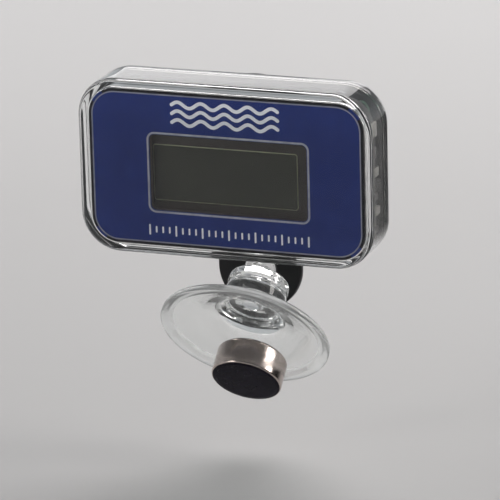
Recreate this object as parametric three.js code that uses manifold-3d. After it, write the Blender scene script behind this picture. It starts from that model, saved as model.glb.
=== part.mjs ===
// Submersible digital aquarium thermometer with a suction cup and a loose button cell.
// Millimetres, +Z up, the display looks along -Y. The origin is the middle of the clear front face.
import * as THREE from 'three';
import { mergeVertices } from 'three/addons/utils/BufferGeometryUtils.js';
import Module from 'manifold-3d';

const wasm = await Module();
wasm.setup();

// ---------------------------------------------------------------- driving dimensions (mm)
const HOUSING_W = 49.4;       // clear shell, across
const HOUSING_H = 28.9;       // clear shell, up
const HOUSING_Z = 0.25;       // its middle above the middle of the face label: the lower wall is thinner
const HOUSING_R = 6.5;        // clear shell, corner radius
const HOUSING_D = 8.8;        // clear shell, front face to rear rim
const FRONT_T = 1.3;          // thickness of the clear front
const EDGE_R = 0.8;           // rounding of the front edge
const CAV_W = 46.8;           // inside, front part
const CAV_H = 26.2;
const CAV_R = 4.9;
const STEP_Y = 6.9;           // where the inside widens for the seal and the cover
const REAR_W = 48.0;          // inside, rear part
const REAR_H = 27.4;
const REAR_R = 5.5;

const LABEL_W = 46.2;
const LABEL_H = 25.7;
const LABEL_R = 4.5;
const WINDOW_W = 26.5;
const WINDOW_H = 12.6;
const WINDOW_X = 0.35;
const WINDOW_Z = -0.65;       // middle of the window, a little under the middle of the face

const WELL_Z = 3.4;           // battery well, height of its axis
const WELL_R = 6.1;           // for an 11.6 mm cell
const SEAT_R = 7.7;           // counterbore for the cap
const BOSS_R = 9.1;           // outside of the well
const BACK_Y = 17.0;          // rearmost face of the cover
const SEAT_Y = 12.3;          // floor of the counterbore

const TAB_W = 14.2;           // black tongue below the housing, round end
const TAB_Y = 15.4;           // its front face
const TAB_END_Z = -20.2;      // centre of its round end
const HOLE_Z = -20.5;         // hole for the suction cup's neck
const HOLE_R = 2.7;

const NECK_R = 2.6;
const PIVOT_Y = 12.3;         // where the soft neck bends
const NECK_DX = 1.4;          // the soft neck also leans sideways by this much before the boss
const LEAN = 40;              // degrees, how far the mouth of the cup looks down
const BOSS_GAP = 0.5;         // pivot to the end of the cup's boss
const CUP_L = 11.0;           // end of the boss to the plane of the rim
const CUP_R = 14.0;
const CUP_BOSS_R = 5.0;

const CELL_R = 5.8;           // LR44 button cell
const CELL_H = 5.4;

// ---------------------------------------------------------------- helpers
function clean(geometry) {
  const g = geometry.index ? geometry.clone() : geometry.clone();
  g.deleteAttribute('normal');
  g.deleteAttribute('uv');
  const m = mergeVertices(g, 1e-4);
  const idx = m.index.array;
  const pos = m.attributes.position.array;
  const tris = [];
  for (let i = 0; i < idx.length; i += 3) {
    const [a, b, c] = [idx[i], idx[i + 1], idx[i + 2]];
    if (a !== b && b !== c && a !== c) tris.push(a, b, c);
  }
  let vol = 0;
  for (let i = 0; i < tris.length; i += 3) {
    const [a, b, c] = [tris[i] * 3, tris[i + 1] * 3, tris[i + 2] * 3];
    vol += pos[a] * (pos[b + 1] * pos[c + 2] - pos[b + 2] * pos[c + 1])
      - pos[a + 1] * (pos[b] * pos[c + 2] - pos[b + 2] * pos[c])
      + pos[a + 2] * (pos[b] * pos[c + 1] - pos[b + 1] * pos[c]);
  }
  if (vol < 0) for (let i = 0; i < tris.length; i += 3) [tris[i + 1], tris[i + 2]] = [tris[i + 2], tris[i + 1]];
  const out = new THREE.BufferGeometry();
  out.setAttribute('position', new THREE.BufferAttribute(new Float32Array(pos), 3));
  out.setIndex(tris);
  return out;
}
function solid(geometry) {
  const g = clean(geometry);
  return new wasm.Manifold(new wasm.Mesh({
    numProp: 3,
    vertProperties: new Float32Array(g.attributes.position.array),
    triVerts: new Uint32Array(g.index.array),
  }));
}
function fromSolid(s) {
  const m = s.getMesh();
  const g = new THREE.BufferGeometry();
  g.setAttribute('position', new THREE.BufferAttribute(new Float32Array(m.vertProperties), 3));
  g.setIndex([...m.triVerts]);
  return g;
}
function outline(w, h, r, cx = 0, cz = 0) {
  const s = new THREE.Shape();
  const x = w / 2, z = h / 2;
  s.moveTo(cx - x + r, cz - z);
  s.lineTo(cx + x - r, cz - z);
  s.absarc(cx + x - r, cz - z + r, r, -Math.PI / 2, 0, false);
  s.lineTo(cx + x, cz + z - r);
  s.absarc(cx + x - r, cz + z - r, r, 0, Math.PI / 2, false);
  s.lineTo(cx - x + r, cz + z);
  s.absarc(cx - x + r, cz + z - r, r, Math.PI / 2, Math.PI, false);
  s.lineTo(cx - x, cz - z + r);
  s.absarc(cx - x + r, cz - z + r, r, Math.PI, 1.5 * Math.PI, false);
  return s;
}
// a flat piece whose outline lies in X and Z, from y0 back to y1
function plate(shape, y0, y1, curveSegments = 6) {
  const g = new THREE.ExtrudeGeometry(shape, { depth: y1 - y0, bevelEnabled: false, curveSegments, steps: 1 });
  g.rotateX(Math.PI / 2);
  g.translate(0, y1, 0);
  return g;
}
// a turned piece about an axis along Y; points are [radius, y]
function turned(points, segments = 32, cx = 0, cz = 0) {
  const g = new THREE.LatheGeometry(points.map(([r, y]) => new THREE.Vector2(r, y)), segments);
  g.translate(cx, 0, cz);
  return g;
}
function block(x0, x1, y0, y1, z0, z1) {
  const g = new THREE.BoxGeometry(x1 - x0, y1 - y0, z1 - z0);
  g.translate((x0 + x1) / 2, (y0 + y1) / 2, (z0 + z1) / 2);
  return g;
}
const cut = (a, ...rest) => fromSolid(rest.reduce((s, g) => s.subtract(solid(g)), solid(a)));
function fuse(...gs) {
  return fromSolid(gs.slice(1).reduce((s, g) => s.add(solid(g)), solid(gs[0])));
}

const clear = { color: 0xdfe8ea, roughness: 0.08, metalness: 0, transparent: true, opacity: 0.3 };
const softClear = { color: 0xe4ece8, roughness: 0.15, metalness: 0, transparent: true, opacity: 0.35 };
const navy = { color: 0x26335f, roughness: 0.35, metalness: 0 };
const black = { color: 0x121214, roughness: 0.45, metalness: 0 };
const grey = { color: 0xb3aea6, roughness: 0.55, metalness: 0 };
const glassMat = { color: 0xc8d2c8, roughness: 0.05, metalness: 0, transparent: true, opacity: 0.4 };
const polar = { color: 0x3c3e33, roughness: 0.2, metalness: 0 };
const silver = { color: 0x8b8f86, roughness: 0.35, metalness: 0.3 };
const green = { color: 0x1f5a34, roughness: 0.4, metalness: 0 };
const rubber = { color: 0x1a1a1b, roughness: 0.8, metalness: 0 };
const steel = { color: 0xb9bbbd, roughness: 0.3, metalness: 1 };
const nickel = { color: 0xb8aca2, roughness: 0.22, metalness: 1 };
const bronze = { color: 0xb98d55, roughness: 0.35, metalness: 1 };

const thermometer = new THREE.Group();
function piece(name, geometry, look, parent = thermometer) {
  const m = new THREE.Mesh(clean(geometry), new THREE.MeshStandardMaterial(look));
  m.name = name;
  parent.add(m);
  return m;
}

// ---------------------------------------------------------------- clear front shell
{
  const outer = new THREE.ExtrudeGeometry(
    outline(HOUSING_W - 2 * EDGE_R, HOUSING_H - 2 * EDGE_R, HOUSING_R - EDGE_R, 0, HOUSING_Z),
    { depth: HOUSING_D, bevelEnabled: true, bevelThickness: EDGE_R, bevelSize: EDGE_R, bevelSegments: 3, curveSegments: 6, steps: 1 });
  outer.rotateX(Math.PI / 2);
  outer.translate(0, HOUSING_D + EDGE_R, 0);          // front face at y = 0
  const shell = cut(outer,
    block(-40, 40, HOUSING_D, HOUSING_D + 6, -40, 40),
    plate(outline(CAV_W, CAV_H, CAV_R), FRONT_T, HOUSING_D + 1),
    plate(outline(REAR_W, REAR_H, REAR_R), STEP_Y, HOUSING_D + 1));
  piece('front_shell', shell, clear);
}

// ---------------------------------------------------------------- printed face label with its window
{
  const s = outline(LABEL_W, LABEL_H, LABEL_R);
  s.holes.push(outline(WINDOW_W, WINDOW_H, 0.9, WINDOW_X, WINDOW_Z));
  piece('face_label', plate(s, 1.4, 1.65), navy);
}

// ---------------------------------------------------------------- display carrier: holds the LCD and the board
const SCREWS = [[-20.0, 9.6], [20.0, 9.6], [-20.0, -9.6], [20.0, -9.6]];
{
  const body = plate(outline(46.0, 25.2, 4.4), 1.75, 4.5);
  const tools = [
    plate(outline(WINDOW_W + 0.5, WINDOW_H + 0.5, 1.0, WINDOW_X, WINDOW_Z), 1.0, 3.2),
    block(-15.3, 15.3, 2.95, 5.0, -8.8, 9.8),
  ];
  for (const [x, z] of SCREWS) tools.push(turned([[0, 2.5], [0.85, 2.5], [0.85, 5.0], [0, 5.0]], 10, x, z));
  piece('display_carrier', cut(body, ...tools), grey);
}

// ---------------------------------------------------------------- the liquid crystal display, front to back
piece('lcd_polariser_front', block(-12.9, 11.5, 3.0, 3.15, -5.7, 3.6), polar);
piece('lcd_glass_front', block(-15.0, 15.0, 3.2, 3.7, -8.6, 9.6), glassMat);
piece('lcd_glass_rear', block(-15.0, 15.0, 3.75, 4.2, -8.6, 7.4), glassMat);
piece('lcd_reflector', block(-14.6, 14.6, 4.25, 4.4, -8.2, 7.0), silver);
piece('zebra_strip', block(-14.0, 14.0, 3.75, 4.55, 7.9, 9.3), rubber);

// ---------------------------------------------------------------- circuit board and what is soldered on its back
{
  const board = plate(outline(44.0, 23.6, 1.4), 4.6, 5.4, 3);
  piece('circuit_board', cut(board, ...SCREWS.map(([x, z]) => turned([[0, 4], [0.9, 4], [0.9, 6], [0, 6]], 10, x, z))), green);
}
piece('chip_blob', turned([[0, 5.45], [3.5, 5.45], [3.3, 5.9], [2.6, 6.3], [1.4, 6.55], [0, 6.62]], 20, -13.0, -4.2), black);
{
  const can = turned([[0, -3.0], [0.75, -3.0], [0.95, -2.8], [0.95, 2.8], [0.8, 3.0], [0, 3.0]], 14);
  can.rotateZ(Math.PI / 2);
  can.translate(13.0, 6.42, -6.6);
  piece('crystal_can', can, steel);
}
piece('chip_resistor', block(9.6, 11.2, 5.45, 5.95, -10.2, -9.4), black);
piece('chip_capacitor', block(-6.2, -4.2, 5.45, 6.25, -9.9, -8.65), { color: 0x9a7b55, roughness: 0.5, metalness: 0 });
{
  // bead thermistor on two legs, bent over the board's edge so that it sits close to the clear wall
  const bead = new THREE.SphereGeometry(0.95, 14, 10);
  bead.scale(0.62, 1, 1.25);
  bead.translate(22.72, 6.0, -1.5);
  const leg = (z) => fuse(block(20.6, 22.8, 5.6, 5.85, z - 0.14, z + 0.14));
  piece('thermistor', fuse(bead, leg(-1.9), leg(-1.1)), { color: 0x2a2019, roughness: 0.35, metalness: 0 });
}
{
  // conical coil spring for the negative side of the cell, standing on the board
  class Cone extends THREE.Curve {
    getPoint(t) {
      const a = t * 2.75 * 2 * Math.PI;
      const r = 3.4 - 1.7 * t;
      return new THREE.Vector3(r * Math.cos(a), 5.7 + 1.45 * t, WELL_Z + r * Math.sin(a));
    }
  }
  const wire = new THREE.Shape();
  wire.absarc(0, 0, 0.2, 0, 2 * Math.PI, false);
  piece('battery_spring', new THREE.ExtrudeGeometry(wire, { steps: 54, extrudePath: new Cone(), bevelEnabled: false, curveSegments: 3 }), steel);
}
piece('positive_contact', fuse(
  block(6.35, 6.65, 5.45, 11.4, WELL_Z - 1.1, WELL_Z + 1.1),
  block(6.4, 9.4, 5.45, 5.75, WELL_Z - 1.1, WELL_Z + 1.1),
), bronze);
SCREWS.forEach(([x, z], i) => {
  const name = ['upper_left', 'upper_right', 'lower_left', 'lower_right'][i];
  const screw = turned([[0, 2.7], [0.35, 2.7], [0.7, 3.1], [0.7, 5.45], [1.5, 5.45], [1.5, 5.8], [1.15, 6.25], [0, 6.4]], 14, x, z);
  piece(`board_screw_${name}`, cut(screw,
    block(x - 0.85, x + 0.85, 5.95, 7, z - 0.17, z + 0.17),
    block(x - 0.17, x + 0.17, 5.95, 7, z - 0.85, z + 0.85)), steel);
});

// ---------------------------------------------------------------- rear cover with battery well and tongue, and its seal
{
  const s = outline(47.7, 27.1, 5.3);
  s.holes.push(outline(45.4, 24.8, 4.2));
  piece('cover_seal', plate(s, 6.95, 7.5), rubber);
}
{
  const tongue = new THREE.Shape();
  const w = TAB_W / 2;
  tongue.moveTo(-w, WELL_Z);
  tongue.lineTo(-w, TAB_END_Z);
  tongue.absarc(0, TAB_END_Z, w, Math.PI, 2 * Math.PI, false);
  tongue.lineTo(w, WELL_Z);
  tongue.closePath();
  const cover = fuse(
    plate(outline(47.8, 27.2, 5.4), 7.55, HOUSING_D),
    turned([[0, 6.4], [7.5, 6.4], [7.5, 8.0], [BOSS_R, 8.0], [BOSS_R, BACK_Y - 0.6], [BOSS_R - 0.6, BACK_Y], [0, BACK_Y]], 36, 0, WELL_Z),
    plate(tongue, TAB_Y, BACK_Y, 14),
    block(-w, w, 8.0, TAB_Y + 0.2, -12.9, WELL_Z));
  piece('rear_cover', cut(cover,
    turned([[0, 6], [WELL_R, 6], [WELL_R, SEAT_Y + 0.1], [0, SEAT_Y + 0.1]], 36, 0, WELL_Z),
    turned([[0, SEAT_Y], [SEAT_R, SEAT_Y], [SEAT_R, BACK_Y + 1], [0, BACK_Y + 1]], 36, 0, WELL_Z),
    block(5.2, 7.0, 6, 11.9, WELL_Z - 1.5, WELL_Z + 1.5),
    turned([[0, 14.5], [HOLE_R, 14.5], [HOLE_R, 18.5], [0, 18.5]], 24, 0, HOLE_Z)), black);
}

// ---------------------------------------------------------------- battery cap with a coin slot, and its O-ring
{
  const ring = [];
  for (let i = 0; i <= 10; i++) {
    const a = (i / 10) * 2 * Math.PI;
    ring.push([6.9 + 0.55 * Math.cos(a), 12.95 + 0.55 * Math.sin(a)]);
  }
  ring[10] = ring[0];
  piece('cap_o_ring', turned(ring, 32, 0, WELL_Z), rubber);
}
piece('battery_cap', cut(
  turned([[0, 12.4], [6.0, 12.4], [6.0, 13.6], [7.55, 13.6], [7.55, 16.4], [7.2, 16.75], [0, 16.75]], 36, 0, WELL_Z),
  block(-5.4, 5.4, 15.5, 18, WELL_Z - 0.85, WELL_Z + 0.85)), black);

// ---------------------------------------------------------------- suction cup: head and neck in the tongue's hole
{
  const stem = turned([
    [0, PIVOT_Y + 0.45], [0.35, PIVOT_Y + 0.5], [2.1, PIVOT_Y + 2.9], [2.1, TAB_Y - 0.3], [NECK_R, TAB_Y + 0.1],
    [NECK_R, BACK_Y + 0.1], [4.2, BACK_Y + 0.15], [4.2, BACK_Y + 0.8], [3.3, BACK_Y + 1.9], [1.6, BACK_Y + 2.5], [0, BACK_Y + 2.6]], 28, 0, HOLE_Z);
  // in front of the tongue the neck leans sideways, up to NECK_DX at its tip
  const pos = stem.attributes.position, from = TAB_Y - 0.3, tip = PIVOT_Y + 0.45;
  for (let i = 0; i < pos.count; i++) {
    const t = (from - pos.getY(i)) / (from - tip);
    if (t > 0) pos.setX(i, pos.getX(i) + NECK_DX * t);
  }
  piece('suction_cup_stem', stem, softClear);
}

// boss and bell, leaning with the neck; local -Y runs from the pivot to the mouth
const cup = new THREE.Group();
cup.position.set(NECK_DX, PIVOT_Y, HOLE_Z);
cup.rotation.x = THREE.MathUtils.degToRad(LEAN);
thermometer.add(cup);
const d = (w) => -(BOSS_GAP + w);                       // w: depth from the end of the boss
piece('suction_cup_bell', turned([
  [0, d(0)], [3.5, d(0)], [4.55, d(0.45)], [CUP_BOSS_R, d(1.5)], [CUP_BOSS_R, d(5.4)], [5.7, d(6.2)], [7.6, d(7.3)],
  [10.4, d(8.7)], [12.7, d(9.8)], [CUP_R, d(10.5)], [CUP_R, d(CUP_L)], [12.6, d(CUP_L)], [11.6, d(10.2)],
  [9.0, d(9.0)], [6.2, d(7.8)], [3.4, d(7.0)], [0, d(6.7)]], 36), softClear, cup);

// ---------------------------------------------------------------- LR44 cell lying in the mouth of the cup
const CELL_OFF = -6.1;                                   // below the cup's axis, in the plane of the rim
const CELL_FACE = d(CUP_L) - (CELL_H - 0.6);             // flat positive face, in front of the rim
const cy = (w) => CELL_FACE + w;                         // w: depth from the positive face
const cell = new THREE.Group();
cell.position.set(0, 0, CELL_OFF);
cup.add(cell);
piece('cell_can', turned([
  [0, cy(0)], [5.3, cy(0)], [5.65, cy(0.12)], [CELL_R, cy(0.45)], [CELL_R, cy(4.5)], [5.62, cy(4.85)], [5.3, cy(5.0)],
  [5.15, cy(4.8)], [5.15, cy(0.6)], [0, cy(0.6)]], 32), nickel, cell);
piece('cell_gasket', turned([
  [4.72, cy(3.4)], [5.05, cy(3.4)], [5.05, cy(4.95)], [4.72, cy(5.0)], [4.72, cy(3.4)]], 32), rubber, cell);
piece('cell_cap', turned([
  [0, cy(0.9)], [4.4, cy(0.9)], [4.62, cy(1.2)], [4.62, cy(4.9)], [4.3, cy(5.3)], [3.9, cy(CELL_H)], [0, cy(CELL_H)]], 32), steel, cell);

export default thermometer;
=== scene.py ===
import math

import bmesh
import bpy
import numpy as np
from mathutils import Matrix, Vector


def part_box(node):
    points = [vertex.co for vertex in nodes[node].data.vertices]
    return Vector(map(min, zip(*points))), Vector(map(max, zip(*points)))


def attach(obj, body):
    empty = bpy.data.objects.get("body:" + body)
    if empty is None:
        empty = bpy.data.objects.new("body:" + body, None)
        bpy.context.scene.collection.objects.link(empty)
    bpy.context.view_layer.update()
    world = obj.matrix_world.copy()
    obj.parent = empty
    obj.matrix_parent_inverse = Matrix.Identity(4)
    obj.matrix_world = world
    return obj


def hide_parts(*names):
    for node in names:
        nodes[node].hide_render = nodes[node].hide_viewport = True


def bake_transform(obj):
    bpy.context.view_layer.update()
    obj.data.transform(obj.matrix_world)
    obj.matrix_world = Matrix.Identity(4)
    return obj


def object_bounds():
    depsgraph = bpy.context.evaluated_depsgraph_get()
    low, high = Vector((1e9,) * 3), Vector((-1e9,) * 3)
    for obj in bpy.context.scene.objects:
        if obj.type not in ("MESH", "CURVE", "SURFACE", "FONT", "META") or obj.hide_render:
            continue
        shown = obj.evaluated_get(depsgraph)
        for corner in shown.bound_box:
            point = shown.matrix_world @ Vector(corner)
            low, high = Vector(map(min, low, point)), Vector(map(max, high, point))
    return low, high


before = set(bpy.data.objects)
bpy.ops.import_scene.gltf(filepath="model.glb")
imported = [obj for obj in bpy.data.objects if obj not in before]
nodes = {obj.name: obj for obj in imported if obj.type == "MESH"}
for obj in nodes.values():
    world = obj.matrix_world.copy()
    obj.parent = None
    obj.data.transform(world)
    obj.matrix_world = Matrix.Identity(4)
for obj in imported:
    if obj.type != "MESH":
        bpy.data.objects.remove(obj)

cad_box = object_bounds()
MM = 0.001

# ------------------------------------------------------------------ sizes, in millimetres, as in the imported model
W, H, R, D = 49.4, 28.9, 6.5, 8.8            # clear shell
HZ = 0.25                                      # its middle above the label's
WIN_W, WIN_H, WIN_X, WIN_Z = 26.5, 12.6, 0.35, -0.65   # window
WELL_Z = 3.4
BACK_Y, TAB_Y = 17.0, 15.4
TAB_W, TAB_END_Z, HOLE_Z, HOLE_R = 14.2, -20.2, -20.5, 2.7
NECK_DX = 1.4                                  # sideways lean of the soft neck
PIVOT = Vector((NECK_DX, 12.3, HOLE_Z))
LEAN = math.radians(40)
BOSS_GAP, CUP_L = 0.5, 11.0
CELL_OFF = -6.1

# ------------------------------------------------------------------ camera: the photograph's direction, a long lens
AZ, EL, ROLL = math.radians(20.0), math.radians(17.5), math.radians(1.5)
toward = Vector((math.sin(AZ) * math.cos(EL), -math.cos(AZ) * math.cos(EL), math.sin(EL)))
cam_data = bpy.data.cameras.new("camera")
cam = bpy.data.objects.new("camera", cam_data)
bpy.context.scene.collection.objects.link(cam)
bpy.context.scene.camera = cam
target = Vector((2.6, 4.0, -13.4)) * MM
DIST = 0.75
FIELD = 0.080                                  # width seen at the target
cam_data.sensor_width = 36.0
cam_data.lens = 36.0 * DIST / FIELD
cam_data.clip_start, cam_data.clip_end = 0.05, 20.0
cam.location = target + toward * DIST
quat = (-toward).to_track_quat("-Z", "Y")
cam.rotation_mode = "QUATERNION"
cam.rotation_quaternion = quat @ Matrix.Rotation(-ROLL, 3, "Z").to_quaternion()


# ------------------------------------------------------------------ mesh helpers
def smooth(obj, angle=32.0):
    for p in obj.data.polygons:
        p.use_smooth = True
    obj.data.set_sharp_from_angle(angle=math.radians(angle))


def to_object(name, bm, material, body, angle=32.0, also=()):
    bmesh.ops.remove_doubles(bm, verts=bm.verts, dist=1e-7)
    bmesh.ops.dissolve_degenerate(bm, edges=bm.edges, dist=1e-8)
    bmesh.ops.recalc_face_normals(bm, faces=bm.faces)
    me = bpy.data.meshes.new(name)
    bm.to_mesh(me)
    bm.free()
    obj = bpy.data.objects.new(name, me)
    bpy.context.scene.collection.objects.link(obj)
    me.materials.append(material)
    for m in also:
        me.materials.append(m)
    smooth(obj, angle)
    if body:
        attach(obj, body)
    return obj


def ring_faces(bm, a, b):
    n = len(a)
    out = []
    for i in range(n):
        j = (i + 1) % n
        quad = [a[i], a[j], b[j], b[i]]
        quad = [v for k, v in enumerate(quad) if v is not quad[k - 1]]
        if len(quad) >= 3:
            try:
                out.append(bm.faces.new(quad))
            except ValueError:
                pass
    return out


def loft(bm, loops, start=True, end=True, closed=False):
    """loops of points in millimetres; quads between them, flat caps on the first and last"""
    rings = []
    for pts in loops:
        if len(pts) == 1:
            v = bm.verts.new(Vector(pts[0]) * MM)
            rings.append([v])
        else:
            rings.append([bm.verts.new(Vector(p) * MM) for p in pts])
    faces = []
    pairs = list(zip(rings, rings[1:]))
    if closed:
        pairs.append((rings[-1], rings[0]))
    for a, b in pairs:
        if len(a) == 1 or len(b) == 1:
            one, many = (a[0], b) if len(a) == 1 else (b[0], a)
            for i in range(len(many)):
                faces.append(bm.faces.new([many[i], many[(i + 1) % len(many)], one]))
        else:
            faces += ring_faces(bm, a, b)
    if not closed:
        if start and len(rings[0]) > 2:
            faces.append(bm.faces.new(rings[0]))
        if end and len(rings[-1]) > 2:
            faces.append(bm.faces.new(rings[-1]))
    return faces


def rr(w, h, r, y, cx=0.0, cz=0.0, n=10):
    """rounded rectangle in X and Z at depth y"""
    r = max(min(r, w / 2 - 1e-4, h / 2 - 1e-4), 1e-3)
    pts = []
    for k, (sx, sz) in enumerate(((1, -1), (1, 1), (-1, 1), (-1, -1))):
        ox, oz = cx + sx * (w / 2 - r), cz + sz * (h / 2 - r)
        a0 = -math.pi / 2 + k * math.pi / 2
        for i in range(n + 1):
            a = a0 + (math.pi / 2) * i / n
            pts.append((ox + r * math.cos(a), y, oz + r * math.sin(a)))
    return pts


def inset(w, h, r, i, y, cx=0.0, cz=0.0, n=10):
    return rr(w - 2 * i, h - 2 * i, r - i, y, cx, cz, n)


def fillet(points, radii, seg=6):
    """rounds the corners of a polyline [(a, b)...]; radii is one number or a list"""
    out = []
    n = len(points)
    for i, p in enumerate(points):
        rad = radii[i] if isinstance(radii, (list, tuple)) else radii
        if i in (0, n - 1) or rad <= 0:
            out.append(tuple(p))
            continue
        p0, p1, p2 = Vector(points[i - 1]), Vector(p), Vector(points[i + 1])
        d0, d1 = (p0 - p1), (p2 - p1)
        l0, l1 = d0.length, d1.length
        if l0 < 1e-9 or l1 < 1e-9:
            out.append(tuple(p))
            continue
        d0.normalize(), d1.normalize()
        ang = math.acos(max(-1, min(1, d0.dot(d1))))
        if ang > math.pi - 0.02:
            out.append(tuple(p))
            continue
        t = min(rad / math.tan(ang / 2), 0.48 * l0, 0.48 * l1)
        rr_ = t * math.tan(ang / 2)
        bis = (d0 + d1).normalized()
        c = p1 + bis * (rr_ / math.sin(ang / 2))
        s, e = p1 + d0 * t, p1 + d1 * t
        va, vb = (s - c), (e - c)
        a0 = math.atan2(va.y, va.x)
        a1 = math.atan2(vb.y, vb.x)
        da = (a1 - a0 + math.pi) % (2 * math.pi) - math.pi
        for k in range(seg + 1):
            a = a0 + da * k / seg
            out.append((c.x + rr_ * math.cos(a), c.y + rr_ * math.sin(a)))
    return out


def spin(points, seg=96, frame_matrix=None, cx=0.0, cz=0.0):
    """loops of a turned profile [(radius, y)...] about Y"""
    loops = []
    for r, y in points:
        if r < 1e-5:
            loops.append([(cx, y, cz)])
        else:
            loops.append([(cx + r * math.cos(2 * math.pi * i / seg), y, cz + r * math.sin(2 * math.pi * i / seg)) for i in range(seg)])
    if frame_matrix is not None:
        loops = [[tuple(frame_matrix @ Vector(p)) for p in loop] for loop in loops]
    return loops


def box_bm(bm, lo, hi, bevel=0.0, seg=2, cuts=0):
    res = bmesh.ops.create_cube(bm, size=1.0)
    verts = res["verts"]
    lo, hi = Vector(lo) * MM, Vector(hi) * MM
    for v in verts:
        v.co = Vector(((lo.x + hi.x) / 2 + v.co.x * (hi.x - lo.x), (lo.y + hi.y) / 2 + v.co.y * (hi.y - lo.y), (lo.z + hi.z) / 2 + v.co.z * (hi.z - lo.z)))
    if bevel:
        edges = list({e for v in verts for e in v.link_edges})
        bmesh.ops.bevel(bm, geom=edges, offset=bevel * MM, segments=seg, profile=0.5, affect="EDGES")
    return verts


# ------------------------------------------------------------------ materials
def new_material(name):
    m = bpy.data.materials.new(name)
    m.use_nodes = True
    nt = m.node_tree
    nt.nodes.clear()
    out = nt.nodes.new("ShaderNodeOutputMaterial")
    p = nt.nodes.new("ShaderNodeBsdfPrincipled")
    nt.links.new(p.outputs[0], out.inputs[0])
    return m, nt, p, out


def noise(nt, scale, detail=4.0, rough=0.55, coord="Object", stretch=None):
    tc = nt.nodes.new("ShaderNodeTexCoord")
    src = tc.outputs[coord]
    if stretch is not None:
        mp = nt.nodes.new("ShaderNodeMapping")
        mp.inputs["Scale"].default_value = stretch
        nt.links.new(src, mp.inputs[0])
        src = mp.outputs[0]
    t = nt.nodes.new("ShaderNodeTexNoise")
    t.inputs["Scale"].default_value = scale
    t.inputs["Detail"].default_value = detail
    t.inputs["Roughness"].default_value = rough
    nt.links.new(src, t.inputs["Vector"])
    return t


def ramp(nt, src, stops):
    r = nt.nodes.new("ShaderNodeValToRGB")
    els = r.color_ramp.elements
    while len(els) < len(stops):
        els.new(0.5)
    for e, (pos, col) in zip(els, stops):
        e.position = pos
        e.color = (*col, 1.0) if len(col) == 3 else col
    nt.links.new(src, r.inputs[0])
    return r


def remap(nt, src, a, b, lo=0.0, hi=1.0):
    m = nt.nodes.new("ShaderNodeMapRange")
    m.inputs["From Min"].default_value = lo
    m.inputs["From Max"].default_value = hi
    m.inputs["To Min"].default_value = a
    m.inputs["To Max"].default_value = b
    nt.links.new(src, m.inputs["Value"])
    return m


def bump(nt, p, src, distance, strength=1.0, prev=None):
    b = nt.nodes.new("ShaderNodeBump")
    b.inputs["Strength"].default_value = strength
    b.inputs["Distance"].default_value = distance
    nt.links.new(src, b.inputs["Height"])
    if prev is not None:
        nt.links.new(prev.outputs[0], b.inputs["Normal"])
    if p is not None:
        nt.links.new(b.outputs[0], p.inputs["Normal"])
    return b


def plain(name, lo, hi, rough=(0.4, 0.55), scale=900.0, fine=5200.0, dist=0.00001, metal=0.0, coat=0.0, spec=0.5):
    """a moulded or printed surface: slow colour drift, fine grain in roughness and height"""
    m, nt, p, _ = new_material(name)
    n1, n2 = noise(nt, scale, 5.0), noise(nt, fine, 3.0, 0.6)
    c = ramp(nt, n1.outputs["Fac"], [(0.3, lo), (0.7, hi)])
    nt.links.new(c.outputs[0], p.inputs["Base Color"])
    nt.links.new(remap(nt, n1.outputs["Fac"], rough[0], rough[1], 0.3, 0.7).outputs[0], p.inputs["Roughness"])
    p.inputs["Metallic"].default_value = metal
    p.inputs["Coat Weight"].default_value = coat
    p.inputs["Specular IOR Level"].default_value = spec
    bump(nt, p, n2.outputs["Fac"], dist, 0.6)
    return m


def see_through(name, tint, shade, rough, ior, haze=0.0, wave=(260.0, 0.00002), milk=(0.9, 0.93, 0.92)):
    """clear plastic; lamps reach what is behind it"""
    m, nt, p, out = new_material(name)
    n1 = noise(nt, wave[0], 3.0, 0.5)
    n2 = noise(nt, 2600.0, 4.0, 0.6)
    c = ramp(nt, n1.outputs["Fac"], [(0.3, shade), (0.7, tint)])
    nt.links.new(c.outputs[0], p.inputs["Base Color"])
    nt.links.new(remap(nt, n2.outputs["Fac"], rough[0], rough[1], 0.3, 0.7).outputs[0], p.inputs["Roughness"])
    p.inputs["IOR"].default_value = ior
    p.inputs["Transmission Weight"].default_value = 1.0 - haze
    bump(nt, p, n1.outputs["Fac"], wave[1], 0.5)
    lp = nt.nodes.new("ShaderNodeLightPath")
    tr = nt.nodes.new("ShaderNodeBsdfTransparent")
    tr.inputs[0].default_value = (0.93, 0.95, 0.945, 1.0)
    mix = nt.nodes.new("ShaderNodeMixShader")
    nt.links.new(lp.outputs["Is Shadow Ray"], mix.inputs[0])
    nt.links.new(p.outputs[0], mix.inputs[1])
    nt.links.new(tr.outputs[0], mix.inputs[2])
    nt.links.new(mix.outputs[0], out.inputs[0])
    return m


def metal(name, lo, hi, rough=(0.16, 0.3), stretch=(1, 1, 1), scale=700.0, dist=0.000004, coord="Object", aniso=0.0):
    m, nt, p, _ = new_material(name)
    n1 = noise(nt, scale, 6.0, 0.6, coord, stretch)
    n2 = noise(nt, scale * 0.12, 3.0, 0.5, coord)
    c = ramp(nt, n2.outputs["Fac"], [(0.3, lo), (0.7, hi)])
    nt.links.new(c.outputs[0], p.inputs["Base Color"])
    nt.links.new(remap(nt, n1.outputs["Fac"], rough[0], rough[1], 0.3, 0.7).outputs[0], p.inputs["Roughness"])
    p.inputs["Metallic"].default_value = 1.0
    p.inputs["Anisotropic"].default_value = aniso
    bump(nt, p, n1.outputs["Fac"], dist, 0.5)
    return m


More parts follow.
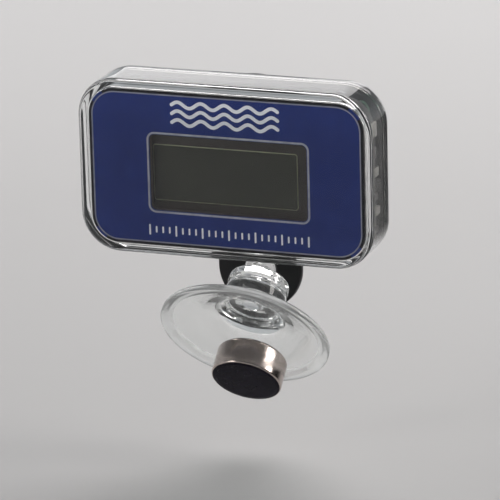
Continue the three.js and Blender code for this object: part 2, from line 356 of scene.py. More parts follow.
CLEAR = see_through("clear_housing", (0.985, 0.99, 0.99), (0.97, 0.982, 0.982), (0.006, 0.025), 1.47, 0.0, (160.0, 0.000003))
SOFT = see_through("soft_clear_pvc", (0.975, 0.985, 0.98), (0.95, 0.968, 0.96), (0.015, 0.05), 1.5, 0.03, (420.0, 0.00003))
SOFT_RIM = see_through("soft_clear_pvc_rim", (0.99, 0.995, 0.992), (0.965, 0.98, 0.975), (0.012, 0.04), 1.5, 0.27, (420.0, 0.00003))
NAVY = plain("navy_label", (0.013, 0.030, 0.165), (0.019, 0.039, 0.198), (0.42, 0.55), 380.0, 6000.0, 0.000002, spec=0.05)
BORDER = plain("black_border_print", (0.006, 0.006, 0.010), (0.010, 0.010, 0.015), (0.42, 0.55), 380.0, 6000.0, 0.000002, spec=0.05)
INK = plain("white_ink", (0.80, 0.82, 0.87), (0.90, 0.915, 0.95), (0.4, 0.55), 900.0, 7000.0, 0.000004)
SILVER_INK = plain("silver_ink", (0.30, 0.31, 0.37), (0.47, 0.48, 0.54), (0.28, 0.42), 1200.0, 7000.0, 0.000004, 0.35)
KEY_INK = plain("key_ink", (0.20, 0.205, 0.26), (0.34, 0.345, 0.41), (0.28, 0.42), 500.0, 7000.0, 0.000004, 0.35)
BLACK = plain("black_abs", (0.0030, 0.0030, 0.0038), (0.0052, 0.0052, 0.0064), (0.35, 0.42), 500.0, 4200.0, 0.000012, spec=0.33)
BLACK_FINE = plain("black_abs_smooth", (0.0035, 0.0035, 0.0045), (0.006, 0.006, 0.0074), (0.27, 0.34), 500.0, 5200.0, 0.000006, spec=0.4)
GREY = plain("carrier_grey", (0.60, 0.57, 0.545), (0.72, 0.695, 0.67), (0.45, 0.6), 420.0, 4200.0, 0.00001)
# painted shade: the carrier's ends are coloured near black, far darker than its grey long sides
CARRIER_END_PAINTED_SHADE = plain("carrier_end_painted_shade", (0.016, 0.013, 0.012), (0.034, 0.029, 0.027), (0.4, 0.55), 520.0, 4200.0, 0.00001)
# painted light: lighter patches on some lugs at the carrier's ends, as if lit
LUG_PAINTED_LIGHT = plain("carrier_lug_painted_light", (0.20, 0.19, 0.175), (0.30, 0.285, 0.26), (0.4, 0.55), 620.0, 4200.0, 0.00001)
# painted shade: dark reddish brown on the carrier's walls and front round the window recess
WINDOW_RECESS_PAINTED_SHADE = plain("window_recess_painted_shade", (0.017, 0.008, 0.008), (0.036, 0.018, 0.017), (0.4, 0.6), 700.0, 4200.0, 0.000008)
RUBBER = plain("black_rubber", (0.014, 0.014, 0.015), (0.028, 0.028, 0.03), (0.6, 0.78), 600.0, 3800.0, 0.00002, spec=0.35)
LCD_GLASS = plain("lcd_cell", (0.016, 0.012, 0.010), (0.024, 0.019, 0.016), (0.05, 0.12), 200.0, 900.0, 0.0000002, spec=0.2)
POLAR = plain("lcd_polariser", (0.013, 0.0145, 0.0085), (0.021, 0.023, 0.0145), (0.12, 0.22), 160.0, 1200.0, 0.0000002, spec=0.15)
# painted highlight: a light yellowish colour on the polariser's cut edge, as if it caught the light
POLAR_EDGE_HIGHLIGHT = plain("polariser_edge_painted_highlight", (0.20, 0.21, 0.11), (0.32, 0.33, 0.19), (0.3, 0.4), 900.0, 5000.0, 0.000003)
REFLECTOR = plain("lcd_reflector", (0.30, 0.31, 0.27), (0.42, 0.43, 0.38), (0.25, 0.4), 500.0, 5000.0, 0.000004, 0.3)
PCB = plain("solder_mask", (0.006, 0.045, 0.018), (0.010, 0.070, 0.030), (0.25, 0.4), 900.0, 3000.0, 0.00001)
CERAMIC = plain("ceramic_chip", (0.20, 0.13, 0.07), (0.33, 0.22, 0.13), (0.5, 0.65), 1500.0, 6000.0, 0.00001)
EPOXY = plain("epoxy", (0.012, 0.011, 0.010), (0.03, 0.027, 0.024), (0.15, 0.3), 700.0, 2500.0, 0.00002)
STEEL = metal("steel", (0.50, 0.50, 0.51), (0.63, 0.63, 0.64), (0.2, 0.34))
BRONZE = metal("bronze", (0.48, 0.31, 0.13), (0.62, 0.42, 0.20), (0.22, 0.36))
NICKEL = metal("nickel_can", (0.44, 0.375, 0.345), (0.56, 0.49, 0.455), (0.13, 0.22), (1, 1, 1), 2600.0, 0.0000008)
# painted shade: the can's flat face is coloured near-black violet and dull, standing in for the shadowed floor it
# reflects
CELL_FACE_PAINTED_SHADE = plain("cell_face_painted_shade", (0.0035, 0.002, 0.0075), (0.006, 0.004, 0.0115), (0.22, 0.34), 420.0, 5200.0, 0.000001, 0.0, spec=0.06)

# plain CAD nodes that stay: materials only
for name, mat in {
    "lcd_glass_rear": LCD_GLASS, "lcd_reflector": REFLECTOR, "zebra_strip": RUBBER, "circuit_board": PCB,
    "crystal_can": STEEL, "chip_resistor": EPOXY, "chip_capacitor": CERAMIC, "thermistor": EPOXY, "chip_blob": EPOXY,
    "battery_spring": STEEL, "positive_contact": BRONZE, "cell_gasket": RUBBER,
    "board_screw_upper_left": STEEL, "board_screw_upper_right": STEEL, "board_screw_lower_left": STEEL, "board_screw_lower_right": STEEL,
}.items():
    o = nodes[name]
    o.data.materials.clear()
    o.data.materials.append(mat)

# ------------------------------------------------------------------ clear shell
bm = bmesh.new()
prof = [(2.2, 0.0), (1.1, 0.0)]
ER = 0.7
for k in range(9):                                        # front edge, rounded
    a = math.pi / 2 * k / 8
    prof.append((ER * (1 - math.sin(a)), ER * (1 - math.cos(a))))
prof += [(0.0, 2.6), (0.0, 6.9)]
for k in range(8):                                        # rear outer edge
    a = math.pi / 2 * (k + 1) / 8
    prof.append((0.45 * (1 - math.cos(a)), D - 0.7 + 0.7 * math.sin(a)))
prof += [(0.6, D)]
loops = [inset(W, H, R, i, y, 0, HZ, n=14) for i, y in prof]
RW, RH, RRAD = 48.0, 27.4, 5.5                            # rear opening
CW, CH, CRAD = 46.8, 26.2, 4.9                            # cavity
for g, y in ((-0.1, D), (-0.03, D - 0.03), (0.0, D - 0.1), (0.0, 6.95), (0.03, 6.9)):
    loops.append(inset(RW, RH, RRAD, g, y, n=14))
for g, y in ((-0.06, 6.9), (0.0, 6.84), (0.0, 2.4)):
    loops.append(inset(CW, CH, CRAD, g, y, n=14))
FRONT_IN = 1.42                                           # the label is bonded to the inside of the front, no air between them
for k in range(7):                                        # inner corner at the front, radius 0.25
    a = math.pi / 2 * k / 6
    loops.append(inset(CW, CH, CRAD, 0.25 * (1 - math.cos(a)), FRONT_IN + 0.25 - 0.25 * math.sin(a), n=14))
loops.append(inset(CW, CH, CRAD, 1.0, FRONT_IN, n=14))
loops.append(inset(CW, CH, CRAD, 1.8, FRONT_IN, n=14))
loft(bm, loops)
shell = to_object("clear_shell", bm, CLEAR, "housing", 28)
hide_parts("front_shell")

# ------------------------------------------------------------------ label with its print
bm = bmesh.new()
LW, LH, LR, LY = 46.2, 25.7, 4.5, 1.40
lab = [inset(LW, LH, LR, 0.45, LY, n=12), inset(LW, LH, LR, 0.08, LY, n=12), inset(LW, LH, LR, 0.02, LY + 0.03, n=12), rr(LW, LH, LR, LY + 0.09, n=12), rr(LW, LH, LR, LY + 0.25, n=12),
       rr(WIN_W, WIN_H, 0.9, LY + 0.25, WIN_X, WIN_Z, n=12), rr(WIN_W, WIN_H, 0.9, LY + 0.05, WIN_X, WIN_Z, n=12), rr(WIN_W + 0.1, WIN_H + 0.1, 0.95, LY, WIN_X, WIN_Z, n=12)]
loft(bm, lab, closed=True)
for f in bm.faces:                                        # the border of the film is printed black
    if any(max(abs(v.co.x) / MM - (LW / 2 - 0.44), abs(v.co.z) / MM - (LH / 2 - 0.44)) > 0 for v in f.verts):
        f.material_index = 1
for f in bm.faces:
    if all(abs(v.co.y / MM - LY) < 1e-4 for v in f.verts) and any(abs(v.co.x / MM - WIN_X) < WIN_W / 2 + 0.3 and abs(v.co.z / MM - WIN_Z) < WIN_H / 2 + 0.3 for v in f.verts):
        f.material_index = 0
label = to_object("printed_label", bm, NAVY, "housing", 30, also=(BORDER,))
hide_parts("face_label")


def band(name, outer, inner, y0, y1, mat, body="housing"):
    bm = bmesh.new()
    e = (y1 - y0) * 0.3
    def lp(s, y, g):
        w, h, r, cx, cz = s
        return rr(w + g, h + g, r + g / 2, y, cx, cz, 10)
    loft(bm, [lp(outer, y1, 0), lp(outer, y0 + e, 0), lp(outer, y0, -2 * e), lp(inner, y0, 2 * e), lp(inner, y0 + e, 0), lp(inner, y1, 0)], closed=True)
    return to_object(name, bm, mat, body, 30)


win_line = band("window_line", (WIN_W + 0.84, WIN_H + 0.84, 1.3, WIN_X, WIN_Z), (WIN_W + 0.2, WIN_H + 0.2, 1.0, WIN_X, WIN_Z), LY - 0.035, LY + 0.01, SILVER_INK)
key_line = band("label_keyline", (LW - 0.92, LH - 0.92, LR - 0.46, 0, 0), (LW - 1.34, LH - 1.34, LR - 0.67, 0, 0), LY - 0.03, LY + 0.01, KEY_INK)


def ribbon(bm, pts, half, y0, y1):
    """a flat printed stroke of given half width along points in X and Z, round ends"""
    pts = [Vector((p[0], 0, p[1])) for p in pts]
    left, right = [], []
    for i, p in enumerate(pts):
        t = (pts[min(i + 1, len(pts) - 1)] - pts[max(i - 1, 0)]).normalized()
        nrm = Vector((-t.z, 0, t.x))
        left.append(p + nrm * half)
        right.append(p - nrm * half)
    def cap(p, t, side):
        out = []
        for k in range(1, 6):
            a = math.pi * k / 6
            nrm = Vector((-t.z, 0, t.x))
            out.append(p + (nrm * math.cos(a) + t * math.sin(a)) * half * side)
        return out
    t1 = (pts[-1] - pts[-2]).normalized()
    t0 = (pts[1] - pts[0]).normalized()
    n1 = Vector((-t1.z, 0, t1.x))
    n0 = Vector((-t0.z, 0, t0.x))
    end = [pts[-1] + (n1 * math.cos(math.pi * k / 6) + t1 * math.sin(math.pi * k / 6)) * half for k in range(1, 6)]
    begin = [pts[0] + (-n0 * math.cos(math.pi * k / 6) - t0 * math.sin(math.pi * k / 6)) * half for k in range(1, 6)]
    # faces in strips, so that the stroke stays clean where it bends
    top, bot = [], []
    for y, store in ((y0, top), (y1, bot)):
        L = [bm.verts.new(Vector((q.x, y, q.z)) * MM) for q in left]
        Rr = [bm.verts.new(Vector((q.x, y, q.z)) * MM) for q in right]
        E = [bm.verts.new(Vector((q.x, y, q.z)) * MM) for q in end]
        B = [bm.verts.new(Vector((q.x, y, q.z)) * MM) for q in begin]
        for i in range(len(L) - 1):
            bm.faces.new([L[i], L[i + 1], Rr[i + 1], Rr[i]])
        bm.faces.new([L[-1]] + E + [Rr[-1]])
        bm.faces.new([Rr[0]] + B + [L[0]])
        store += L + E + Rr[::-1] + B
    n = len(top)
    for i in range(n):
        j = (i + 1) % n
        bm.faces.new([top[i], top[j], bot[j], bot[i]])


# a plain mark of three waves, and a row of scale ticks
bm = bmesh.new()
MARK_Z = 9.35
for row in range(3):
    z0 = MARK_Z + 1.45 - row * 1.45
    pts = [(-8.9 + 17.8 * i / 140, z0 + 0.46 * math.sin(i / 140 * 2 * math.pi * 4.5)) for i in range(141)]
    ribbon(bm, pts, 0.29, LY - 0.035, LY + 0.01)
mark = to_object("wave_mark", bm, INK, "housing", 30)
bm = bmesh.new()
for i in range(25):
    x = -13.2 + i * 1.12
    long = 1.05 if i % 4 == 0 else 0.62
    ribbon(bm, [(x, -9.95 - long), (x, -9.95), (x, -9.95 + (0.25 if i % 4 == 0 else 0.0) + 0.2)], 0.15, LY - 0.035, LY + 0.01)
ticks = to_object("scale_ticks", bm, INK, "housing", 30)

# ------------------------------------------------------------------ joining and cutting
def tool_object(name, bm):
    bmesh.ops.remove_doubles(bm, verts=bm.verts, dist=1e-7)
    bmesh.ops.recalc_face_normals(bm, faces=bm.faces)
    me = bpy.data.meshes.new(name)
    bm.to_mesh(me)
    bm.free()
    o = bpy.data.objects.new(name, me)
    bpy.context.scene.collection.objects.link(o)
    return o


def boolean(base, tools, op):
    """joins or cuts, worked in millimetres, then cleans the result"""
    for o in [base] + tools:
        o.data.transform(Matrix.Scale(1000.0, 4))
    for t in tools:
        m = base.modifiers.new("b", "BOOLEAN")
        m.operation = op
        m.solver = "EXACT"
        m.object = t
    dg = bpy.context.evaluated_depsgraph_get()
    me = bpy.data.meshes.new_from_object(base.evaluated_get(dg))
    base.modifiers.clear()
    bm = bmesh.new()
    bm.from_mesh(me)
    bmesh.ops.remove_doubles(bm, verts=bm.verts, dist=2e-4)
    bmesh.ops.dissolve_degenerate(bm, edges=bm.edges, dist=2e-4)
    bmesh.ops.scale(bm, vec=(MM, MM, MM), verts=bm.verts)
    bm.to_mesh(me)
    bm.free()
    me.validate()
    old = base.data
    base.data = me
    bpy.data.meshes.remove(old)
    for t in tools:
        bpy.data.objects.remove(t)
    return base


# ------------------------------------------------------------------ display carrier: grey frame, painted shade round the window and on its ends, painted light on some lugs, ribs on its ends
bm = bmesh.new()
cw, ch, cr = 46.0, 25.2, 4.4
fs = loft(bm, [rr(cw - 0.4, ch - 0.4, cr - 0.2, 1.75, n=10), rr(cw - 0.12, ch - 0.12, cr - 0.06, 1.81, n=10), rr(cw, ch, cr, 1.97, n=10), rr(cw, ch, cr, 4.3, n=10), rr(cw - 0.3, ch - 0.3, cr - 0.15, 4.5, n=10),
          rr(30.6, 18.6, 0.4, 4.5, 0, 0.5, n=10), rr(30.6, 18.6, 0.4, 2.95, 0, 0.5, n=10), rr(WIN_W + 0.2, WIN_H + 0.2, 0.9, 2.95, WIN_X, WIN_Z, n=10), rr(WIN_W + 0.45, WIN_H + 0.45, 1.0, 1.85, WIN_X, WIN_Z, n=10), rr(WIN_W + 0.65, WIN_H + 0.65, 1.1, 1.75, WIN_X, WIN_Z, n=10)], closed=True)
carrier = tool_object("carrier_frame", bm)
# each lug's last figure is its material slot: 3 takes the painted light, 2 the painted shade of the ends
LUGS = ((7.0, 9.2, 2.3, 4.7, 3), (0.4, 1.9, 3.3, 5.2, 3), (-6.0, -4.6, 3.6, 5.6, 3), (3.6, 5.4, 2.6, 4.2, 2), (-3.4, -2.2, 2.6, 4.6, 2), (-8.6, -7.6, 2.6, 4.6, 2))
lugs = []
for sx in (-1, 1):                                        # locating lugs on both ends
    for z0, z1, y0, y1, painted_light_slot in LUGS:
        xa, xb = sorted((sx * 22.3, sx * 23.22))
        bm = bmesh.new()
        box_bm(bm, (xa, y0, z0), (xb, y1, z1), 0.16, 3)
        lugs.append(tool_object("lug", bm))
boolean(carrier, lugs, "UNION")
carrier.data.materials.clear()
for m in (GREY, WINDOW_RECESS_PAINTED_SHADE, CARRIER_END_PAINTED_SHADE, LUG_PAINTED_LIGHT):
    carrier.data.materials.append(m)
for f in carrier.data.polygons:                           # painted shade round the window and on the ends, which are darker than the long sides; painted light on the lugs with slot 3
    c = f.center / MM
    if abs(c.x) > 23.005 or abs(c.x) > 22.25 and c.y > 4.505:
        f.material_index = 3 if any(painted_light_slot == 3 and z0 - 0.05 < c.z < z1 + 0.05 for z0, z1, y0, y1, painted_light_slot in LUGS) else 2
    elif abs(c.x - WIN_X) < 14.2 and abs(c.z - WIN_Z) < 7.2 and c.y < 3.0 or c.y < 1.9:
        f.material_index = 1
    # the front part of the ends takes the painted shade too
    elif 1.9 < c.y < 4.45 and abs(c.x) > 19.55:
        f.material_index = 2
smooth(carrier, 30)
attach(carrier, "housing")
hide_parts("display_carrier")

# ------------------------------------------------------------------ display: front glass and polariser
bm = bmesh.new()
box_bm(bm, (-15.0, 3.2, -8.6), (15.0, 3.7, 9.6), 0.07, 2)
glass = to_object("display_glass", bm, LCD_GLASS, "housing", 30)
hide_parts("lcd_glass_front")
bm = bmesh.new()
px0, px1, pz0, pz1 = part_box("lcd_polariser_front")[0].x / MM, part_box("lcd_polariser_front")[1].x / MM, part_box("lcd_polariser_front")[0].z / MM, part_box("lcd_polariser_front")[1].z / MM
pw, ph, pcx, pcz = px1 - px0, pz1 - pz0, (px0 + px1) / 2, (pz0 + pz1) / 2
loft(bm, [rr(pw - 0.28, ph - 0.28, 0.3, 3.0, pcx, pcz, n=4), rr(pw - 0.22, ph - 0.22, 0.35, 3.0, pcx, pcz, n=4), rr(pw, ph, 0.45, 3.07, pcx, pcz, n=4), rr(pw, ph, 0.45, 3.15, pcx, pcz, n=4)])
# the polariser's cut edge takes the painted highlight
for f in bm.faces:
    c = f.calc_center_median() / MM
    if c.y > 3.01 and c.y < 3.149:
        f.material_index = 1
polar = to_object("display_polariser", bm, POLAR, "housing", 25, also=(POLAR_EDGE_HIGHLIGHT,))
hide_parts("lcd_polariser_front")

# ------------------------------------------------------------------ seal
bm = bmesh.new()
loft(bm, [rr(47.7 - g, 27.1 - g, 5.3 - g / 2, y, n=10) for g, y in ((0.16, 6.95), (0.0, 7.03), (0.0, 7.42), (0.16, 7.5))]
     + [rr(45.4 + g, 24.8 + g, 4.2 + g / 2, y, n=10) for g, y in ((0.16, 7.5), (0.0, 7.42), (0.0, 7.03), (0.16, 6.95))], closed=True)
seal = to_object("flat_seal", bm, RUBBER, "housing", 30)
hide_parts("cover_seal")

# ------------------------------------------------------------------ rear cover: plate, well, tongue, one fine mesh
def tongue_loop(y, g, top=WELL_Z, n=40):
    w = TAB_W / 2 - g
    pts = [(-w, y, top), (-w, y, TAB_END_Z + 6), (-w, y, TAB_END_Z + 3)]
    for i in range(n + 1):
        a = math.pi + math.pi * i / n
        pts.append((w * math.cos(a), y, TAB_END_Z + w * math.sin(a)))
    pts += [(w, y, TAB_END_Z + 3), (w, y, TAB_END_Z + 6), (w, y, top)]
    return pts


bm = bmesh.new()
loft(bm, [rr(47.8 - g, 27.2 - g, 5.4 - g / 2, y, n=12) for g, y in ((0.3, 7.55), (0.1, 7.6), (0.0, 7.7), (0.0, 8.55), (0.08, 8.72), (0.3, 8.8), (0.6, 8.8))])
cover = tool_object("black_cover", bm)
parts = []
bm = bmesh.new()
loft(bm, spin([(0, 6.4), (7.3, 6.4), (7.5, 6.6), (7.5, 8.0), (9.35, 8.0), (9.35, 8.8), (9.2, 9.0), (9.1, 9.25), (9.1, BACK_Y - 0.7), (8.97, BACK_Y - 0.3), (8.75, BACK_Y - 0.08), (8.4, BACK_Y), (0, BACK_Y)], 96, None, 0, WELL_Z), False, False)
parts.append(tool_object("t1", bm))
bm = bmesh.new()
loft(bm, [tongue_loop(y, g) for g, y in ((0.35, TAB_Y), (0.1, TAB_Y + 0.08), (0.0, TAB_Y + 0.3), (0.0, BACK_Y - 0.35), (0.1, BACK_Y - 0.1), (0.35, BACK_Y - 0.006), (0.7, BACK_Y - 0.006))])
parts.append(tool_object("t2", bm))
bm = bmesh.new()
loft(bm, [rr(TAB_W - 0.02 + g, 16.3 + g, 1.2, y, 0, WELL_Z - 8.15, n=6) for g, y in ((0.0, 8.0), (0.5, 8.8), (0.1, 9.2), (0.0, 9.5), (0.0, TAB_Y + 0.25))])
parts.append(tool_object("t3", bm))
boolean(cover, parts, "UNION")
cuts = []
bm = bmesh.new()
loft(bm, spin([(0, 6.0), (6.1, 6.0), (6.1, 12.3), (7.7, 12.3), (7.7, BACK_Y - 0.25), (7.95, BACK_Y + 0.05), (7.95, BACK_Y + 1), (0, BACK_Y + 1)], 96, None, 0, WELL_Z), False, False)
cuts.append(tool_object("c1", bm))
bm = bmesh.new()
box_bm(bm, (5.2, 5.9, WELL_Z - 1.5), (7.0, 11.9, WELL_Z + 1.5))
cuts.append(tool_object("c2", bm))
bm = bmesh.new()
loft(bm, spin([(0, TAB_Y - 0.6), (3.1, TAB_Y - 0.6), (3.1, TAB_Y - 0.02), (2.7, TAB_Y + 0.35), (2.7, BACK_Y - 0.35), (3.05, BACK_Y + 0.02), (3.05, BACK_Y + 1), (0, BACK_Y + 1)], 64, None, 0, HOLE_Z), False, False)
cuts.append(tool_object("c3", bm))
bm = bmesh.new()                                           # shallow recess on the tongue's back
loft(bm, [rr(8.6 + g, 3.4 + g, 1.6 + g / 2, y, 0, -11.2, n=8) for g, y in ((-0.3, BACK_Y - 0.3), (0.0, BACK_Y - 0.2), (0.0, BACK_Y - 0.05), (0.2, BACK_Y + 0.05), (0.2, BACK_Y + 1))])
cuts.append(tool_object("c4", bm))
boolean(cover, cuts, "DIFFERENCE")
cover.data.materials.clear()
cover.data.materials.append(BLACK)
smooth(cover, 30)
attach(cover, "housing")
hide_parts("rear_cover")

# ------------------------------------------------------------------ battery cap and O-ring
bm = bmesh.new()
CAP_Y = 16.75
capp = fillet([(0, 12.4), (6.0, 12.4), (6.0, 13.6), (7.55, 13.6), (7.55, CAP_Y), (6.9, CAP_Y), (6.9, CAP_Y - 0.2), (6.2, CAP_Y - 0.2), (6.2, CAP_Y), (0, CAP_Y)], [0, 0.2, 0, 0.15, 0.35, 0.05, 0.05, 0.05, 0.05, 0], 5)
loft(bm, spin(capp, 96, None, 0, WELL_Z), False, False)
cap = tool_object("coin_cap", bm)
bm = bmesh.new()
loft(bm, [rr(10.8 + g, 1.7 + g, 0.85 + g / 2, y, 0, WELL_Z, n=8) for g, y in ((0.0, CAP_Y - 1.2), (0.0, CAP_Y - 0.16), (0.35, CAP_Y + 0.05), (0.35, CAP_Y + 1))])
boolean(cap, [tool_object("c5", bm)], "DIFFERENCE")
cap.data.materials.append(BLACK_FINE)
smooth(cap, 30)
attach(cap, "battery_cap")
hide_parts("battery_cap")
bm = bmesh.new()
ring = [(6.9 + 0.55 * math.cos(2 * math.pi * i / 20), 12.95 + 0.55 * math.sin(2 * math.pi * i / 20)) for i in range(20)]
loft(bm, spin(ring, 96, None, 0, WELL_Z), closed=True)
oring = to_object("cap_seal_ring", bm, RUBBER, "cap_seal", 40)
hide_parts("cap_o_ring")

# ------------------------------------------------------------------ suction cup: one soft moulding along a bent axis
axis_y = Vector((0, 1, 0))
n_dir = Vector((0, math.cos(LEAN), math.sin(LEAN)))
bend_a, bend_b = TAB_Y - 0.25 - PIVOT.y, -0.15     # where the neck starts to bend and where it ends


def station(s):
    """centre and direction at s: s > 0 behind the pivot along Y, s < 0 ahead of it along the lean"""
    if s >= bend_a:
        return PIVOT + axis_y * s - Vector((NECK_DX, 0, 0)), axis_y.copy()
    if s <= bend_b:
        return PIVOT + n_dir * s, n_dir.copy()
    t = (s - bend_b) / (bend_a - bend_b)
    p0, p1, p2 = PIVOT + n_dir * bend_b, PIVOT.copy(), PIVOT + axis_y * bend_a
    p = p0 * (1 - t) ** 2 + p1 * 2 * t * (1 - t) + p2 * t * t
    d = ((p1 - p0) * 2 * (1 - t) + (p2 - p1) * 2 * t).normalized()
    p.x -= NECK_DX * t * t * (3 - 2 * t)
    return p, d


def cup_loop(r, s, seg=112):
    c, dr = station(s)
    u = Vector((1, 0, 0))
    v = dr.cross(u).normalized()
    if r < 1e-5:
        return [tuple(c)]
    return [tuple(c + u * (r * math.cos(2 * math.pi * i / seg)) + v * (r * math.sin(2 * math.pi * i / seg))) for i in range(seg)]


g = BOSS_GAP
hb = BACK_Y - PIVOT.y
outer = [(0.0, hb + 2.6), (1.7, hb + 2.5), (3.3, hb + 1.9), (4.2, hb + 0.85), (4.2, hb + 0.15), (2.6, hb + 0.12), (2.6, TAB_Y - PIVOT.y + 0.05), (2.15, TAB_Y - PIVOT.y - 0.28), (2.05, 1.7), (2.3, 0.25),
         (3.6, -g), (5.0, -(g + 0.35)), (5.0, -(g + 1.75)), (4.72, -(g + 2.05)), (4.72, -(g + 2.5)), (5.0, -(g + 2.8)), (5.0, -(g + 5.2)), (5.9, -(g + 6.3)), (8.0, -(g + 7.5)), (10.6, -(g + 8.75)), (12.3, -(g + 9.42)), (12.75, -(g + 9.42)), (14.0, -(g + 10.0)), (14.0, -(g + CUP_L)),
         (12.55, -(g + CUP_L)), (12.15, -(g + 10.35)), (10.9, -(g + 9.9)), (8.6, -(g + 8.85)), (6.0, -(g + 7.8)), (3.4, -(g + 7.15)), (1.5, -(g + 6.85)), (0.0, -(g + 6.8))]
radii = [0, 1.2, 1.2, 0.5, 0.25, 0.3, 0.5, 0.6, 1.2, 0.5, 0.5, 0.9, 0.25, 0.16, 0.16, 0.25, 1.6, 2.2, 4.0, 5.0, 0.3, 0.3, 0.5, 0.42, 0.36, 0.3, 4.0, 6.0, 6.0, 4.0, 1.0, 0]
cup_prof = fillet(outer, radii, 7)
bm = bmesh.new()
loft(bm, [cup_loop(r, s) for r, s in cup_prof], False, False)
rim_centre = PIVOT - n_dir * (g + CUP_L)
for f in bm.faces:                                        # the thick rim is a little milky
    c = f.calc_center_median() / MM - rim_centre
    if c.dot(n_dir) < 1.75 and (c - n_dir * c.dot(n_dir)).length > 12.2:
        f.material_index = 1
cup = to_object("suction_cup", bm, SOFT, None, 40, also=(SOFT_RIM,))
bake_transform(cup)
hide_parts("suction_cup_stem", "suction_cup_bell")

# ------------------------------------------------------------------ button cell
tilt = Matrix.Translation(PIVOT) @ Matrix.Rotation(LEAN, 4, "X") @ Matrix.Translation(Vector((0, -(g + CUP_L) - 4.8, CELL_OFF)))
bm = bmesh.new()
can = fillet([(0, 0.0), (5.05, 0.0), (5.2, 0.03), (5.8, 0.08), (5.8, 4.45), (5.3, 5.0), (5.12, 4.75), (5.12, 0.6), (0, 0.6)], [0, 0.3, 0.3, 0.34, 0.5, 0.12, 0.1, 0.1, 0], 6)
loops = spin(can, 112, tilt)
faces = loft(bm, loops, False, False)
inv = tilt.inverted()
# the flat face takes the painted shade
for f in bm.faces:
    c = inv @ (f.calc_center_median() / MM)
    if math.hypot(c.x, c.z) < 5.62 and c.y < 0.2:
        f.material_index = 1
can_obj = to_object("cell_case", bm, NICKEL, "cell", 30, also=(CELL_FACE_PAINTED_SHADE,))
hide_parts("cell_can")
bm = bmesh.new()
capc = fillet([(0, 0.9), (4.4, 0.9), (4.62, 1.2), (4.62, 4.85), (4.2, 5.4), (0, 5.4)], [0, 0.1, 0.1, 0.4, 0.35, 0], 6)
loft(bm, spin(capc, 96, tilt), False, False)
cap_obj = to_object("cell_negative_cap", bm, STEEL, "cell", 30)
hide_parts("cell_cap")

# ------------------------------------------------------------------ stage and light
floor_mat, nt, p, _ = new_material("floor")
n1 = noise(nt, 6.0, 4.0)
c = ramp(nt, n1.outputs["Fac"], [(0.3, (0.50, 0.50, 0.495)), (0.7, (0.53, 0.53, 0.525))])
nt.links.new(c.outputs[0], p.inputs["Base Color"])
nt.links.new(remap(nt, n1.outputs["Fac"], 0.6, 0.75, 0.3, 0.7).outputs[0], p.inputs["Roughness"])
ftc = nt.nodes.new("ShaderNodeTexCoord")                   # the floor beyond the lamps' reach stays pale
length = nt.nodes.new("ShaderNodeVectorMath")
length.operation = "LENGTH"
nt.links.new(ftc.outputs["Object"], length.inputs[0])
nt.links.new(remap(nt, length.outputs["Value"], 0.0, 0.30, 0.16, 1.0).outputs[0], p.inputs["Emission Strength"])
p.inputs["Emission Color"].default_value = (1.0, 1.0, 1.0, 1.0)
bm = bmesh.new()
FLOOR_Z = cad_box[0].z - 0.0092
s = 3.0
for x, y in ((-s, -s), (s, -s), (s, s), (-s, s)):
    bm.verts.new((x, y, FLOOR_Z))
bm.verts.ensure_lookup_table()
bm.faces.new(bm.verts)
me = bpy.data.meshes.new("floor")
bm.to_mesh(me)
bm.free()
floor = bpy.data.objects.new("floor", me)
bpy.context.scene.collection.objects.link(floor)
me.materials.append(floor_mat)

mat_mat, nt, p, _ = new_material("reflection_mat")          # a dark soft-edged mat on the right that only reflections show
p.inputs["Base Color"].default_value = (0.012, 0.012, 0.013, 1.0)
p.inputs["Roughness"].default_value = 1.0
p.inputs["Specular IOR Level"].default_value = 0.0
mtc = nt.nodes.new("ShaderNodeTexCoord")
mse = nt.nodes.new("ShaderNodeSeparateXYZ")
nt.links.new(mtc.outputs["Object"], mse.inputs[0])
nt.links.new(remap(nt, mse.outputs["X"], 0.0, 1.0, 0.026, 0.060).outputs[0], p.inputs["Alpha"])
bm = bmesh.new()
sheet = [bm.verts.new((x, y, z)) for x, z in ((0.02, FLOOR_Z + 0.001), (0.40, FLOOR_Z + 0.001), (0.40, 0.052)) for y in (-0.40, 0.55)]
for i in (0, 2):                                          # flat on the floor, then upright at its far end
    bm.faces.new((sheet[i], sheet[i + 2], sheet[i + 3], sheet[i + 1]))
me = bpy.data.meshes.new("reflection_mat")
bm.to_mesh(me)
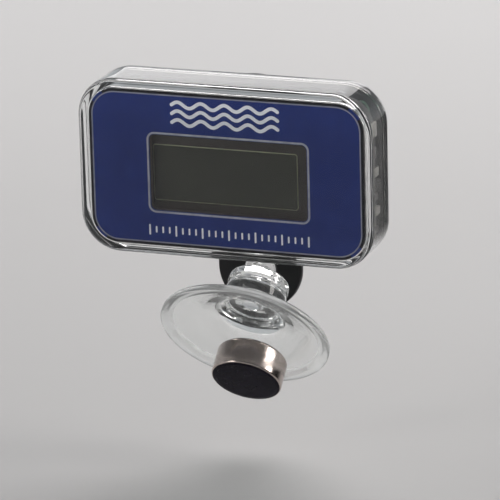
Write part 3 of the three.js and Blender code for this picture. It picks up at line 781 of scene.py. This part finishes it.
bm.free()
dark_mat = bpy.data.objects.new("reflection_mat", me)
bpy.context.scene.collection.objects.link(dark_mat)
me.materials.append(mat_mat)
dark_mat.visible_camera = False
dark_mat.visible_diffuse = False
dark_mat.visible_transmission = False
dark_mat.visible_volume_scatter = False
dark_mat.visible_shadow = False

world = bpy.data.worlds.new("world")
bpy.context.scene.world = world
world.use_nodes = True
wt = world.node_tree                                      # pale round the horizon, darker overhead
tc = wt.nodes.new("ShaderNodeTexCoord")
sep = wt.nodes.new("ShaderNodeSeparateXYZ")
wt.links.new(tc.outputs["Generated"], sep.inputs[0])
sky = ramp(wt, sep.outputs["Z"], [(0.0, (0.50, 0.51, 0.52)), (0.16, (0.40, 0.415, 0.43)), (0.45, (0.15, 0.158, 0.166)), (1.0, (0.10, 0.105, 0.11))])
wt.links.new(sky.outputs[0], wt.nodes["Background"].inputs[0])
wt.nodes["Background"].inputs[1].default_value = 1.0


def area(name, loc, aim, size, power, colour=(1, 1, 1), size_y=None, through=True):
    l = bpy.data.lights.new(name, "AREA")
    l.energy = power
    l.color = colour
    l.shape = "RECTANGLE"
    l.size = size
    l.size_y = size_y or size
    o = bpy.data.objects.new(name, l)
    bpy.context.scene.collection.objects.link(o)
    o.location = loc
    o.rotation_mode = "QUATERNION"
    o.rotation_quaternion = (Vector(aim) - Vector(loc)).to_track_quat("-Z", "Y")
    o.visible_camera = False
    o.visible_transmission = through                       # whether clear parts show the lamp itself
    return o


mid = (0.0, 0.0, -0.01)
area("key", (-0.56, -0.62, 0.30), mid, 0.30, 1.9, (1.0, 0.985, 0.96))
area("top", (-0.02, 0.34, 0.42), (0, 0.14, -0.05), 0.5, 2.1, (1.0, 0.965, 0.968), 0.26)
area("back", (-0.30, 0.80, 0.33), mid, 0.66, 1.35, (1.0, 0.97, 0.97), 0.34, False)
area("rim", (0.575, 0.15, 0.26), mid, 0.19, 1.28, (1.0, 0.965, 0.935), 0.34)

bpy.context.scene.view_settings.view_transform = "Standard"
